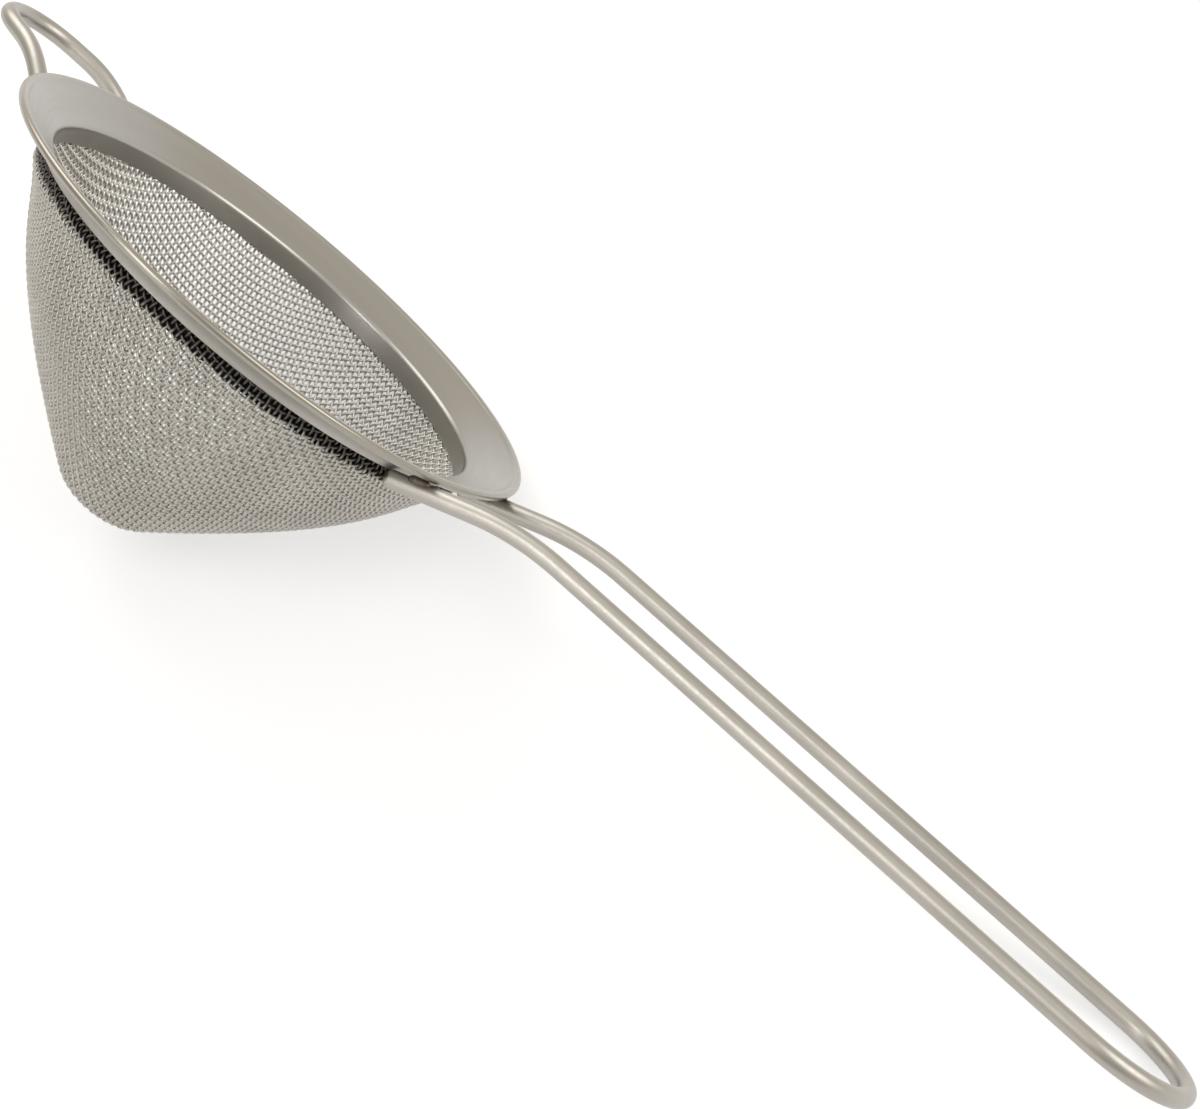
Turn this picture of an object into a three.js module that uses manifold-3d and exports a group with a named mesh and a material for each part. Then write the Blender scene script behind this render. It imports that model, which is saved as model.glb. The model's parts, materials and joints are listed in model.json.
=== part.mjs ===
// Small conical fine mesh strainer: pressed steel rim, woven wire cone, hairpin wire handle and wire rest.
// It is drawn about the rim's axis, then laid on its side as it lies on a table. Millimetres, +Z up.
import * as THREE from 'three';
import { mergeVertices } from 'three/addons/utils/BufferGeometryUtils.js';
import Module from 'manifold-3d';

// Rim: a pressed ring with a rolled edge, a sloping flange and an inner collar
const RIM_RADIUS = 42.5;
const EDGE_RADIUS = 0.5;
const EDGE_LAND = 0.5;
const SHEET = 0.4;
const COLLAR_RADIUS = 35;
const FLANGE_DROP = 3.4;
const COLLAR_HEIGHT = 2.85;
const BEND_RADIUS = 0.9;

// Plain woven wire cloth: one wire's thickness, the pitch of the weave and its bearing from the handle
const MESH_WIRE = 0.4;
const MESH_PITCH = 1.1;
const MESH_BEARING = THREE.MathUtils.degToRad(36);

// The cloth is pressed to a blunt cone that runs up outside the collar
const CONE_DEPTH = 41.45;
const CONE_END_RADIUS = 6.7;
const CONE_END_DOME = 1.3;
const CONE_END_ROUND = 1.4;
const CONE_BULGE = 2.1;
const CONE_BULGE_REACH = 16.5;

// A coarse grid of openings stands for the weave: how many across, and the plain band over them
const GRID_OPENINGS = 9;
const GRID_BORDER = 1.2;
const GRID_OVERCUT = 2;

// Handle: one wire bent to a hairpin, its two legs welded under the flange
const WIRE_DIAMETER = 2.6;
const HANDLE_HALF_WIDTH = 11.3;
const HANDLE_REACH = 157.1;
const HANDLE_BEND_REACH = 53.4;
const HANDLE_BEND_LENGTH = 7;
const HANDLE_TILT = THREE.MathUtils.degToRad(4.35);

// Rest: a short wire loop opposite the handle
const LOOP_REACH = 58.1;
const LOOP_RADIUS = 7.75;
const LOOP_SPLAY = THREE.MathUtils.degToRad(18);
const LOOP_BEND_REACH = 47;
const LOOP_BEND_LENGTH = 3.5;

// The wires' slope where they run under the flange, and the weld beads beside them
const SEAT_SLOPE = THREE.MathUtils.degToRad(22);
const WELD_WIDTH = 2;
const WELD_LENGTH = 4;

// Clearance between pieces that touch
const CLEARANCE = 0.3;

// Fineness of the solids
const TURN_STEPS = 90;
const CONE_STEPS = 48;
const ARC_STEPS = 5;
const DOME_STEPS = 3;
const ROUND_STEPS = 4;
const SIDE_STEPS = 6;
const WIRE_SIDES = 10;
const WIRE_STEP = 2.4;
const WELD_SIDES = 20;
const REACH_SAMPLES = 200;
const MERGE_DISTANCE = 1e-4;

const WIRE_RADIUS = WIRE_DIAMETER / 2;
const EDGE_CENTRE = new THREE.Vector2(RIM_RADIUS - EDGE_RADIUS, -EDGE_RADIUS);
const FLANGE_FOOT = new THREE.Vector2(COLLAR_RADIUS, -FLANGE_DROP);
const FLANGE_SLOPE = EDGE_CENTRE.clone().sub(FLANGE_FOOT).normalize();
const COLLAR_BOTTOM = -FLANGE_DROP - COLLAR_HEIGHT;
const CLOTH = 2 * MESH_WIRE;
const CLOTH_INNER = COLLAR_RADIUS + SHEET + CLEARANCE;
const CLOTH_OUTER = CLOTH_INNER + CLOTH;
const LEG_END_RADIUS = CLOTH_OUTER + CLEARANCE + WIRE_RADIUS;
const SIDES = [['left', 1], ['right', -1]];

const wasm = await Module();
wasm.setup();

const steel = (name, color, roughness) => {
  const material = new THREE.MeshStandardMaterial({ color, roughness, metalness: 1 });
  material.name = name;
  return material;
};
const SATIN_STEEL = steel('satin_steel', 0xb3ada2, 0.38);
const WOVEN_STEEL = steel('woven_steel', 0x9a958b, 0.5);
const WIRE_STEEL = steel('wire_steel', 0xb8b0a5, 0.28);
const WELD_STEEL = steel('weld_steel', 0x7d7468, 0.55);

// Points of a round stretch between two angles, in the plane of a section
function arc(centre, radius, from, to, steps = ARC_STEPS) {
  return Array.from({ length: steps + 1 }, (_, i) => {
    const angle = from + (to - from) * i / steps;
    return new THREE.Vector2(centre.x + radius * Math.cos(angle), centre.y + radius * Math.sin(angle));
  });
}

// A point moved square to a direction, to its left
function shifted(point, direction, distance) {
  return new THREE.Vector2(point.x - direction.y * distance, point.y + direction.x * distance);
}

// Where a line parallel to the flange, at a height above its top face, reaches a radius
function flangeLine(height, radius) {
  const point = shifted(FLANGE_FOOT, FLANGE_SLOPE, height);
  return new THREE.Vector2(radius, point.y + FLANGE_SLOPE.y / FLANGE_SLOPE.x * (radius - point.x));
}

// The rolled edge's outline, from the flange's top face round to its underside, with a flat land on top;
// grow makes it larger all round
function rolledEdge(grow) {
  const radius = EDGE_RADIUS + grow;
  const slopeAngle = FLANGE_SLOPE.angle();
  const topAngle = Math.PI + slopeAngle - Math.asin(grow / radius);
  const underAngle = slopeAngle - Math.PI + Math.asin((SHEET + grow) / radius);
  const landAngle = Math.asin(EDGE_LAND / 2 / radius);
  const landHeight = radius * Math.cos(landAngle);
  const raised = (point) => {
    const height = Math.max(0, point.y - EDGE_CENTRE.y);
    return new THREE.Vector2(point.x, point.y + height * (radius / landHeight - 1));
  };
  return [
    ...arc(EDGE_CENTRE, radius, topAngle, Math.PI / 2 + landAngle),
    ...arc(EDGE_CENTRE, radius, Math.PI / 2 - landAngle, underAngle, 2 * ARC_STEPS),
  ].map(raised);
}

// The rim's closed section
function rimSection(grow = 0) {
  const inner = COLLAR_RADIUS - grow;
  const outer = COLLAR_RADIUS + SHEET + grow;
  const bottom = COLLAR_BOTTOM - grow;
  const turn = Math.PI / 2 - FLANGE_SLOPE.angle();
  const bendTop = flangeLine(grow, inner).y - BEND_RADIUS * Math.tan(turn / 2);
  const bendCentre = new THREE.Vector2(inner + BEND_RADIUS, bendTop);
  const points = [
    new THREE.Vector2(inner, bottom),
    ...arc(bendCentre, BEND_RADIUS, Math.PI, Math.PI - turn),
    ...rolledEdge(grow),
    flangeLine(-SHEET - grow, outer),
    new THREE.Vector2(outer, bottom),
  ];
  points.push(points[0].clone());
  return points.reverse();
}

// The cone's outer line from its tip on the axis up to the cloth's edge under the flange
function coneLine() {
  const top = new THREE.Vector2(CLOTH_OUTER, COLLAR_BOTTOM);
  const end = new THREE.Vector2(CONE_END_RADIUS, -CONE_DEPTH + CONE_END_DOME);
  const down = end.clone().sub(top).normalize();
  const bow = shifted(top.clone().addScaledVector(down, CONE_BULGE_REACH), down, 2 * CONE_BULGE);
  const dome = new THREE.Vector2(CONE_END_RADIUS / 2, -CONE_DEPTH);
  const sideStart = end.clone().addScaledVector(bow.clone().sub(end).normalize(), CONE_END_ROUND);
  const domeEnd = end.clone().addScaledVector(dome.clone().sub(end).normalize(), CONE_END_ROUND);
  const domeCurve = new THREE.QuadraticBezierCurve(new THREE.Vector2(0, -CONE_DEPTH), dome, domeEnd);
  const roundCurve = new THREE.QuadraticBezierCurve(domeEnd, end, sideStart);
  const sideCurve = new THREE.QuadraticBezierCurve(sideStart, bow, top);
  return [
    ...domeCurve.getPoints(DOME_STEPS),
    ...roundCurve.getPoints(ROUND_STEPS).slice(1),
    ...sideCurve.getPoints(SIDE_STEPS).slice(1),
    new THREE.Vector2(CLOTH_OUTER, flangeLine(-SHEET - CLEARANCE, CLOTH_INNER).y),
  ];
}

// The cloth's closed section: the outer line, and the same line moved in by the cloth's thickness
function coneSection() {
  const outer = coneLine();
  const collarPoint = outer.length - 2;
  const inner = outer.map((point, i) => {
    if (i === 0) return new THREE.Vector2(0, point.y + CLOTH);
    if (i >= collarPoint) return new THREE.Vector2(CLOTH_INNER, point.y);
    const along = outer[i + 1].clone().sub(outer[i - 1]).normalize();
    return shifted(point, along, CLOTH);
  });
  return [...outer, ...inner.reverse()];
}

// A place on the flat blank of cloth, laid on the cone: it keeps its bearing round the axis, and its distance
// from the blank's middle becomes the distance along the cone's line. depth counts in from the outer face.
function laidOnCone(line, across, along, depth) {
  const share = Math.min(1, Math.hypot(across, along) / line.getLength());
  const place = shifted(line.getPoint(share), line.getTangent(share), depth);
  const bearing = Math.atan2(along, across) + MESH_BEARING;
  return [place.x * Math.cos(bearing), place.x * Math.sin(bearing), place.y];
}

// What is cut from the cone: a square grid on the blank, with the weave's bearing and its share of openings
function meshOpenings() {
  const line = new THREE.Path(coneLine());
  const top = COLLAR_BOTTOM - GRID_BORDER;
  const border = line.getLength() - (line.getPoint(1).y - top);
  const pitch = 2 * border / GRID_OPENINGS;
  const half = pitch * (1 - MESH_WIRE / MESH_PITCH) / 2;
  const places = Array.from({ length: GRID_OPENINGS }, (_, i) => (i - (GRID_OPENINGS - 1) / 2) * pitch);
  const depths = [-GRID_OVERCUT, CLOTH + GRID_OVERCUT];
  const openings = [];
  for (const u of places) {
    for (const v of places.filter((place) => Math.hypot(u, place) < border)) {
      const corners = [-half, half].flatMap((a) => [-half, half].map((b) => [u + a, v + b]));
      const points = corners.flatMap((corner) => depths.map((depth) => laidOnCone(line, ...corner, depth)));
      openings.push(wasm.Manifold.hull(points));
    }
  }
  return wasm.Manifold.union(openings).trimByPlane([0, 0, -1], -top);
}

// A solid of revolution about +Z
function turned(section, steps) {
  return new THREE.LatheGeometry(section, steps).rotateX(Math.PI / 2);
}

// A round wire along a curve
function wire(curve, radius) {
  const section = new THREE.Shape().absarc(0, 0, radius, 0, 2 * Math.PI);
  const steps = Math.round(curve.getLength() / WIRE_STEP);
  const options = { steps, extrudePath: curve, bevelEnabled: false, curveSegments: WIRE_SIDES / 2 };
  return new THREE.ExtrudeGeometry(section, options);
}

// Distance along a plan line, from its point nearest the rim's axis, to a circle about that axis
function toCircle(nearest, radius) {
  return Math.sqrt(radius * radius - nearest.lengthSq());
}

// The straight of a wire's leg that leans on the rolled edge from below. nearest is the leg's point nearest
// the rim's axis in plan, and outward its direction away from the rim. Distances count from the rolled edge.
function legSeat(nearest, outward) {
  const edgeDistance = toCircle(nearest, EDGE_CENTRE.x);
  const start = nearest.clone().addScaledVector(outward, edgeDistance);
  const square = edgeDistance / EDGE_CENTRE.x;
  const below = (EDGE_RADIUS + CLEARANCE) / square + WIRE_RADIUS;
  const level = EDGE_CENTRE.y - below / Math.cos(SEAT_SLOPE);
  const at = (distance) => new THREE.Vector3(
    start.x + outward.x * distance,
    start.y + outward.y * distance,
    level + distance * Math.tan(SEAT_SLOPE),
  );
  return { start, outward, at, endDistance: toCircle(nearest, LEG_END_RADIUS) - edgeDistance };
}

// Two straight lines joined by a bend, as curves from the first point to the last
function bent(from, corner, to, bendLength) {
  const before = corner.clone().addScaledVector(from.clone().sub(corner).normalize(), bendLength);
  const after = corner.clone().addScaledVector(to.clone().sub(corner).normalize(), bendLength);
  return [
    new THREE.LineCurve3(from, before),
    new THREE.QuadraticBezierCurve3(before, corner, after),
    new THREE.LineCurve3(after, to),
  ];
}

// A point's mirror image across the plane between a wire's two legs
function mirrored(point) {
  return new THREE.Vector3(point.x, -point.y, point.z);
}

// A round turn from one leg of a wire to the other, as two curves that meet between the legs;
// along is the first leg's direction at the turn
function roundTurn(from, along, centre, tip) {
  const radius = tip.distanceTo(centre);
  const half = from.clone().sub(centre).angleTo(tip.clone().sub(centre));
  const pull = 4 / 3 * Math.tan(half / 4) * radius;
  const first = from.clone().addScaledVector(along, pull);
  const second = tip.clone().setY(pull);
  return [
    new THREE.CubicBezierCurve3(from, first, second, tip),
    new THREE.CubicBezierCurve3(tip, mirrored(second), mirrored(first), mirrored(from)),
  ];
}

// A whole wire: one leg, the turn, and the other leg as its mirror image
function hairpin(leg, turn) {
  const [inner, bend, outer] = leg;
  const path = new THREE.CurvePath();
  [
    ...leg,
    ...turn,
    new THREE.LineCurve3(mirrored(outer.v2), mirrored(outer.v1)),
    new THREE.QuadraticBezierCurve3(mirrored(bend.v2), mirrored(bend.v1), mirrored(bend.v0)),
    new THREE.LineCurve3(mirrored(inner.v2), mirrored(inner.v1)),
  ].forEach((curve) => path.add(curve));
  return path;
}

// The handle: its leg on the side +Y runs from its end under the flange to the turn
function handleRoute() {
  const seat = legSeat(new THREE.Vector2(0, HANDLE_HALF_WIDTH), new THREE.Vector2(1, 0));
  const corner = seat.at(HANDLE_BEND_REACH - seat.start.x);
  const along = new THREE.Vector3(Math.cos(HANDLE_TILT), 0, Math.sin(HANDLE_TILT));
  const straight = (HANDLE_REACH - corner.x) / along.x - HANDLE_HALF_WIDTH;
  const turnStart = corner.clone().addScaledVector(along, straight);
  const centre = turnStart.clone().setY(0);
  const tip = centre.clone().addScaledVector(along, HANDLE_HALF_WIDTH);
  const leg = bent(seat.at(seat.endDistance), corner, turnStart, HANDLE_BEND_LENGTH);
  return { seat, path: hairpin(leg, roundTurn(turnStart, along, centre, tip)) };
}

// The rest loop: its legs spread from the turn towards the rim
function loopRoute() {
  const outward = new THREE.Vector2(-Math.cos(LOOP_SPLAY), -Math.sin(LOOP_SPLAY));
  const centreX = LOOP_RADIUS - LOOP_REACH;
  const tangent = new THREE.Vector2(centreX + LOOP_RADIUS * outward.y, -LOOP_RADIUS * outward.x);
  const nearest = tangent.clone().addScaledVector(outward, -tangent.dot(outward));
  const seat = legSeat(nearest, outward);
  const corner = seat.at((-LOOP_BEND_REACH - seat.start.x) / outward.x);
  const turnStart = new THREE.Vector3(tangent.x, tangent.y, corner.z);
  const centre = new THREE.Vector3(centreX, 0, corner.z);
  const tip = new THREE.Vector3(-LOOP_REACH, 0, corner.z);
  const leg = bent(seat.at(seat.endDistance), corner, turnStart, LOOP_BEND_LENGTH);
  const along = new THREE.Vector3(outward.x, outward.y, 0);
  return { seat, path: hairpin(leg, roundTurn(turnStart, along, centre, tip)) };
}

// Closed geometry to a solid that can be cut
function toSolid(geometry) {
  const bare = geometry.clone();
  bare.deleteAttribute('normal');
  bare.deleteAttribute('uv');
  const merged = mergeVertices(bare, MERGE_DISTANCE);
  const vertProperties = new Float32Array(merged.attributes.position.array);
  const triVerts = new Uint32Array(merged.index.array);
  return new wasm.Manifold(new wasm.Mesh({ numProp: 3, vertProperties, triVerts }));
}

// A solid back to geometry
function toGeometry(solid) {
  const { vertProperties, triVerts } = solid.getMesh();
  const geometry = new THREE.BufferGeometry();
  geometry.setAttribute('position', new THREE.BufferAttribute(vertProperties, 3));
  geometry.setIndex(new THREE.BufferAttribute(triVerts, 1));
  geometry.computeVertexNormals();
  return geometry;
}

// A weld bead beside one leg of a wire, in the corner between the leg and the flange's underside
function weldBead(seat, side, cutters) {
  const { outward } = seat;
  const beside = new THREE.Vector2(-outward.y, outward.x).multiplyScalar(Math.sign(outward.x));
  const place = seat.at(seat.endDistance / 2);
  place.x += beside.x * (WIRE_RADIUS + CLEARANCE);
  place.y += beside.y * (WIRE_RADIUS + CLEARANCE);
  place.z += WIRE_RADIUS / Math.cos(SEAT_SLOPE);
  const bead = new THREE.SphereGeometry(WELD_WIDTH / 2, WELD_SIDES, WELD_SIDES / 2);
  bead.scale(WELD_LENGTH / WELD_WIDTH, 1, 1);
  bead.rotateY(-SEAT_SLOPE).rotateZ(side * outward.angle());
  bead.translate(place.x, side * place.y, place.z);
  return toGeometry(cutters.reduce((solid, cutter) => solid.subtract(cutter), toSolid(bead)));
}

function mesh(name, geometry, material) {
  const piece = new THREE.Mesh(geometry, material);
  piece.name = name;
  return piece;
}

const rimLine = rimSection();
const clothLine = coneSection();
const handle = handleRoute();
const loop = loopRoute();

const strainer = new THREE.Group();
strainer.add(mesh('rim_ring', turned(rimLine, TURN_STEPS), SATIN_STEEL));
const meshCone = toSolid(turned(clothLine, CONE_STEPS)).subtract(meshOpenings());
strainer.add(mesh('mesh_cone', toGeometry(meshCone), WOVEN_STEEL));
strainer.add(mesh('handle_wire', wire(handle.path, WIRE_RADIUS), WIRE_STEEL));
strainer.add(mesh('rest_loop', wire(loop.path, WIRE_RADIUS), WIRE_STEEL));
const rimCutter = toSolid(turned(rimSection(CLEARANCE), TURN_STEPS));
for (const [wireName, route] of [['handle', handle], ['rest_loop', loop]]) {
  const cutters = [rimCutter, toSolid(wire(route.path, WIRE_RADIUS + CLEARANCE))];
  for (const [sideName, side] of SIDES) {
    strainer.add(mesh(`${wireName}_weld_${sideName}`, weldBead(route.seat, side, cutters), WELD_STEEL));
  }
}

// Where a rising function crosses zero, halved down to the last digit
function crossing(low, high, value) {
  let [a, b] = [low, high];
  let middle = (a + b) / 2;
  while (a < middle && middle < b) {
    if (value(middle) < 0) a = middle;
    else b = middle;
    middle = (a + b) / 2;
  }
  return middle;
}

// The direction of a table, from its lean to the rim's axis and its bearing round that axis
function tableward(lean, bearing) {
  return new THREE.Vector3(
    Math.sin(lean) * Math.cos(bearing),
    Math.sin(lean) * Math.sin(bearing),
    -Math.cos(lean),
  );
}

// How far a turned section reaches towards the table
function sectionReach(section, lean) {
  return Math.max(...section.map((point) => point.x * Math.sin(lean) - point.y * Math.cos(lean)));
}

// How far the handle reaches towards the table
function handleReach(lean, bearing) {
  const down = tableward(lean, bearing);
  const samples = handle.path.getSpacedPoints(REACH_SAMPLES);
  return Math.max(...samples.map((point) => point.dot(down))) + WIRE_RADIUS;
}

// The strainer lies on its rolled edge, its cone's end and its handle's end, with the handle along +X
// and the middle of its box over the origin
const edgeOverCone = (angle) => sectionReach(rimLine, angle) - sectionReach(clothLine, angle);
const lean = crossing(0, Math.PI / 2, edgeOverCone);
const edgeOverHandle = (angle) => sectionReach(rimLine, lean) - handleReach(lean, angle);
const bearing = crossing(0, Math.PI / 2, edgeOverHandle);
const up = tableward(lean, bearing).negate();
const along = new THREE.Vector3(1, 0, 0).projectOnPlane(up).normalize();
const across = up.clone().cross(along);
strainer.quaternion.setFromRotationMatrix(new THREE.Matrix4().makeBasis(along, across, up).invert());
const part = new THREE.Group();
part.add(strainer);
const box = new THREE.Box3().setFromObject(part, true);
const middle = box.getCenter(new THREE.Vector3());
strainer.position.set(-middle.x, -middle.y, -box.min.z);

export default part;
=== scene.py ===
"""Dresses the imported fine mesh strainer.

It has a pressed rim, a woven wire cone, a hairpin handle, a rest loop and four welds. Sizes are in
millimetres in the rim's own axes: the origin is the rim's centre in the plane of its top edge, +Z points
out of the mouth and +X runs along the handle. RimAxes carries them into the frame, in metres.
"""

import json
import logging
import math
from dataclasses import dataclass, field
from enum import Enum
from typing import Iterable, Sequence

import bmesh
import bpy
from mathutils import Matrix, Vector

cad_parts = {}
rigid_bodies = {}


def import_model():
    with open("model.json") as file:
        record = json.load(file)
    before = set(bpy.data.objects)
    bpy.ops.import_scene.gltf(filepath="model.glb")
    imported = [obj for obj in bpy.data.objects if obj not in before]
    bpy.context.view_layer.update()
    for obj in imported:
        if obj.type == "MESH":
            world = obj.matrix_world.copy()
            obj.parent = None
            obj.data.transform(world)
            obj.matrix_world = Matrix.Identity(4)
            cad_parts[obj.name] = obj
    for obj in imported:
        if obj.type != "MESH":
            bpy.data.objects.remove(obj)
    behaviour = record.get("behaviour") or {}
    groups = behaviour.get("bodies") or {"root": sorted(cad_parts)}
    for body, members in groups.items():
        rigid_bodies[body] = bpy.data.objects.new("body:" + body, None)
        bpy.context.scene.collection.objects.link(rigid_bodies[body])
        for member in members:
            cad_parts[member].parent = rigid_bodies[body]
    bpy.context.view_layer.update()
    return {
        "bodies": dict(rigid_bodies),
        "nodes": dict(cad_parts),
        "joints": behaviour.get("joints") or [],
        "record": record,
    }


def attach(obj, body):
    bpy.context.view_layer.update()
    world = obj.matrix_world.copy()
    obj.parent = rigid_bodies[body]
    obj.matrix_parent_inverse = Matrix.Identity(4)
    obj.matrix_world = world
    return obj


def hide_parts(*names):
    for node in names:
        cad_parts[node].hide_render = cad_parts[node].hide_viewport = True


LOG = logging.getLogger("strainer")

MM = 0.001
ROOT_BODY = "root"
IMAGE_SIZE = (1200, 1109)

Point = tuple[float, float, float]
Flat = tuple[float, float]
Colour = tuple[float, float, float]


class Slot(Enum):
    """The record's material slots."""

    RIM = "rim_steel"
    CLOTH = "woven_steel"
    WIRE = "wire_steel"
    WELD = "weld_steel"


class Side(Enum):
    """The two legs of a bent wire, by their sign along the rim's Y axis."""

    LEFT = 1.0
    RIGHT = -1.0


# Placing and joining


@dataclass(frozen=True)
class RimAxes:
    """The rim's axes in the frame.

    Attributes:
        to_frame: Carries a point in the rim's axes, in metres, into the frame.
    """

    to_frame: Matrix

    @classmethod
    def from_frame(cls, frame: dict) -> "RimAxes":
        """Finds the rim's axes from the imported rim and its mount.


        Returns:
            The rim's axes.
        """
        normal = Vector(frame["record"]["mounts"][0]["axis"]).normalized()
        along = Vector((normal.z, 0.0, -normal.x)).normalized()
        across = normal.cross(along)
        points = [vertex.co for vertex in frame["nodes"]["rim_ring"].data.vertices]

        def middle(axis: Vector) -> float:
            """The middle of the rim's reach along an axis."""
            reach = [point.dot(axis) for point in points]
            return (min(reach) + max(reach)) / 2

        top = max(point.dot(normal) for point in points)
        centre = along * middle(along) + across * middle(across) + normal * top
        turn = Matrix((along, across, normal)).transposed().to_4x4()
        return cls(Matrix.Translation(centre) @ turn)

    def point(self, place: Point) -> Vector:
        """A point in the rim's axes, in millimetres, as a place in the frame."""
        return self.to_frame @ (Vector(place) * MM)


@dataclass(frozen=True)
class Bench:
    """Where finished meshes become pieces of the object.

    Attributes:
        axes: The rim's axes in the frame.
    """

    axes: RimAxes

    def piece(
        self,
        name: str,
        mesh: bpy.types.Mesh,
        finishes: Sequence[bpy.types.Material],
        slot: Slot,
        node: str,
    ) -> bpy.types.Object:
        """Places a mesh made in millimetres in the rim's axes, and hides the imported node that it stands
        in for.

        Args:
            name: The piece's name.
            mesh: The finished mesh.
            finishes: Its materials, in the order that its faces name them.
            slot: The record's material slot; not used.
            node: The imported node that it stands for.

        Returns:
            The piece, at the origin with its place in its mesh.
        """
        mesh.transform(self.axes.to_frame @ Matrix.Scale(MM, 4))
        for finish in finishes:
            mesh.materials.append(finish)
        piece = bpy.data.objects.new(name, mesh)
        bpy.context.scene.collection.objects.link(piece)
        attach(piece, ROOT_BODY)
        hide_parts(node)
        mesh.calc_loop_triangles()
        LOG.info("%s: %d triangles for %s", name, len(mesh.loop_triangles), node)
        return piece


def smooth_shaded(shape: bmesh.types.BMesh, name: str, crease: float) -> bpy.types.Mesh:
    """Turns a bmesh into a mesh with smooth faces and sharp creases.

    Args:
        shape: The finished shape, which is freed.
        name: The mesh's name.
        crease: Edges that bend more than this, in degrees, stay sharp.

    Returns:
        The mesh.
    """
    bmesh.ops.recalc_face_normals(shape, faces=shape.faces)
    for face in shape.faces:
        face.smooth = True
    for edge in shape.edges:
        edge.smooth = edge.calc_face_angle(0.0) < math.radians(crease)
    mesh = bpy.data.meshes.new(name)
    shape.to_mesh(mesh)
    shape.free()
    return mesh


def tube_mesh(
    name: str,
    lines: Iterable[Sequence[Point]],
    radius: float,
    rings: int,
    taper: Sequence[float] = (),
) -> bpy.types.Mesh:
    """Makes round wires along lines, as one mesh with closed ends.

    Args:
        name: The mesh's name.
        lines: The points that each wire follows.
        radius: The wires' radius.
        rings: How finely the section is divided: 0 has 4 sides, and each step adds 2.
        taper: Shares of the radius over the first and last points of each wire.

    Returns:
        The mesh.
    """
    curve = bpy.data.curves.new(name, "CURVE")
    curve.dimensions = "3D"
    curve.twist_mode = "MINIMUM"
    curve.bevel_depth = radius
    curve.bevel_resolution = rings
    curve.use_fill_caps = True
    for line in lines:
        spline = curve.splines.new("POLY")
        spline.points.add(len(line) - 1)
        for point, place in zip(spline.points, line):
            point.co = (*place, 1.0)
        for share, head, tail in zip(taper, spline.points, reversed(spline.points)):
            head.radius = share
            tail.radius = share
        spline.use_smooth = True
    holder = bpy.data.objects.new(name, curve)
    bpy.context.scene.collection.objects.link(holder)
    bpy.context.view_layer.update()
    evaluated = holder.evaluated_get(bpy.context.evaluated_depsgraph_get())
    mesh = bpy.data.meshes.new_from_object(evaluated)
    mesh.name = name
    bpy.data.objects.remove(holder)
    bpy.data.curves.remove(curve)
    mesh.materials.clear()
    return mesh


# Lines in a section or along a wire


def arc(centre: Flat, radius: float, start: float, stop: float, steps: int) -> list[Flat]:
    """Points of a round stretch in a section, between two angles in radians."""
    angles = [start + (stop - start) * i / steps for i in range(steps + 1)]
    return [(centre[0] + radius * math.cos(a), centre[1] + radius * math.sin(a)) for a in angles]


def bezier(controls: Sequence[Vector], steps: int) -> list[Vector]:
    """Points of a Bezier curve of any degree.

    Args:
        controls: Its control points.
        steps: How many stretches it is divided into.

    Returns:
        The points, the first and last among them.
    """
    points = []
    for i in range(steps + 1):
        level = list(controls)
        while len(level) > 1:
            level = [a.lerp(b, i / steps) for a, b in zip(level, level[1:])]
        points.append(level[0])
    return points


def toward(start: Vector, end: Vector, distance: float) -> Vector:
    """The point at a distance from start on the way to end."""
    return start + (end - start).normalized() * distance


def arc_pull(radius: float, turn: float) -> float:
    """The length of the Bezier handles that follow a round turn, given in radians."""
    return 4 / 3 * math.tan(turn / 4) * radius


# Pressed rim


class RimFace(Enum):
    """The rim's finishes, by their place in its list of materials."""

    SHOWN = 0
    # The underside's lighter tone is painted light
    BACK = 1
    # Near-black painted shade on the back in the crevice behind the cloth
    CREVICE = 2
    # The rolled edge's darker tone is painted shade
    EDGE = 3


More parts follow.
